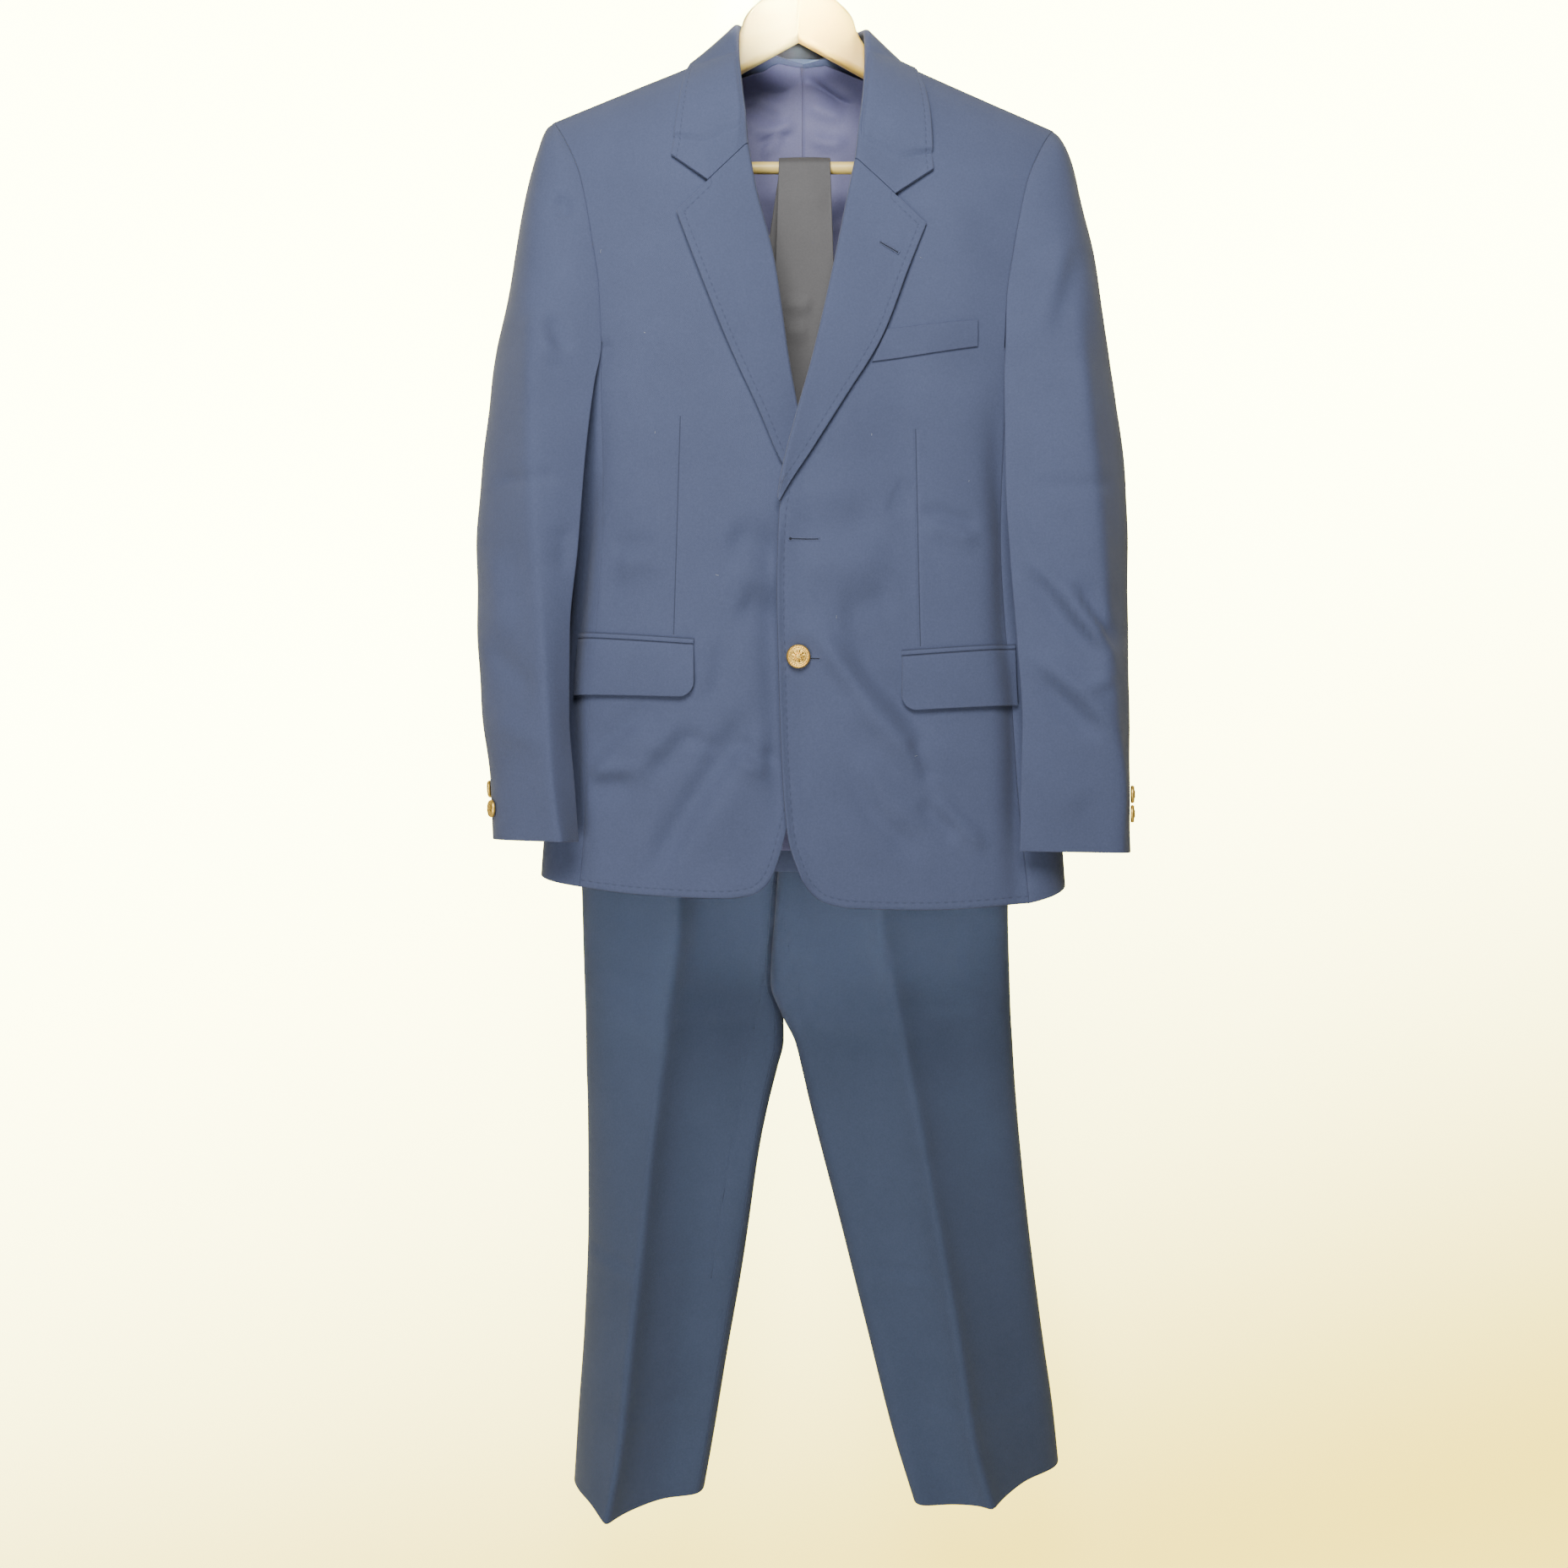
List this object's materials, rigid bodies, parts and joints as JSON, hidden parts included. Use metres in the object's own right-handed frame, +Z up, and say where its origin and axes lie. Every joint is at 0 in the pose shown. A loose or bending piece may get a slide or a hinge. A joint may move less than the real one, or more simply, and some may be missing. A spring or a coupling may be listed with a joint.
{
  "type": "school uniform on hangers: blazer, trousers and necktie",
  "caption": "Two-button school blazer on a wooden hanger with a necktie over its bar, and pressed trousers hung behind it on a clip hanger.",
  "frame": {"origin": "inner top of the wooden hanger's hook, where a peg or rail holds it", "axes": "+Z up, -Y out of the front of the blazer, +X to the right seen from the front, which is the wearer's left"},
  "size_m": [0.5606, 0.266, 1.4272],
  "materials": {
    "wool": "matte",
    "trouser_wool": "matte",
    "lining": "satin",
    "label": "satin",
    "tie_silk": "satin",
    "gold": "polished",
    "wood": "satin varnish",
    "steel": "polished"
  },
  "bodies": {
    "root": {"breast_welt": "wool", "button_front_lower": "gold", "button_front_upper": "gold", "clip_hanger_rod": "steel", "clip_hanger_stem": "steel", "clip_left": "steel", "clip_right": "steel", "collar": "wool", "cuff_button_left_high": "gold", "cuff_button_left_low": "gold", "cuff_button_right_high": "gold", "cuff_button_right_low": "gold", "flap_left": "wool", "flap_right": "wool", "hanger_bar": "wood", "hanger_board_left": "wood", "hanger_board_right": "wood", "hanger_hook": "steel", "jacket_back_left": "wool", "jacket_back_right": "wool", "jacket_front_left": "wool", "jacket_front_right": "wool", "jacket_side_left": "wool", "jacket_side_right": "wool", "jet_left": "wool", "jet_right": "wool", "lapel_left": "wool", "lapel_right": "wool", "lining_back": "lining", "neck_label": "label", "necktie": "tie_silk", "sleeve_under_left": "wool", "sleeve_under_right": "wool", "sleeve_upper_left": "wool", "sleeve_upper_right": "wool", "trouser_back_left": "trouser_wool", "trouser_back_right": "trouser_wool", "trouser_front_left": "trouser_wool", "trouser_front_right": "trouser_wool", "waistband_left": "trouser_wool", "waistband_right": "trouser_wool"}
  },
  "joints": []
}
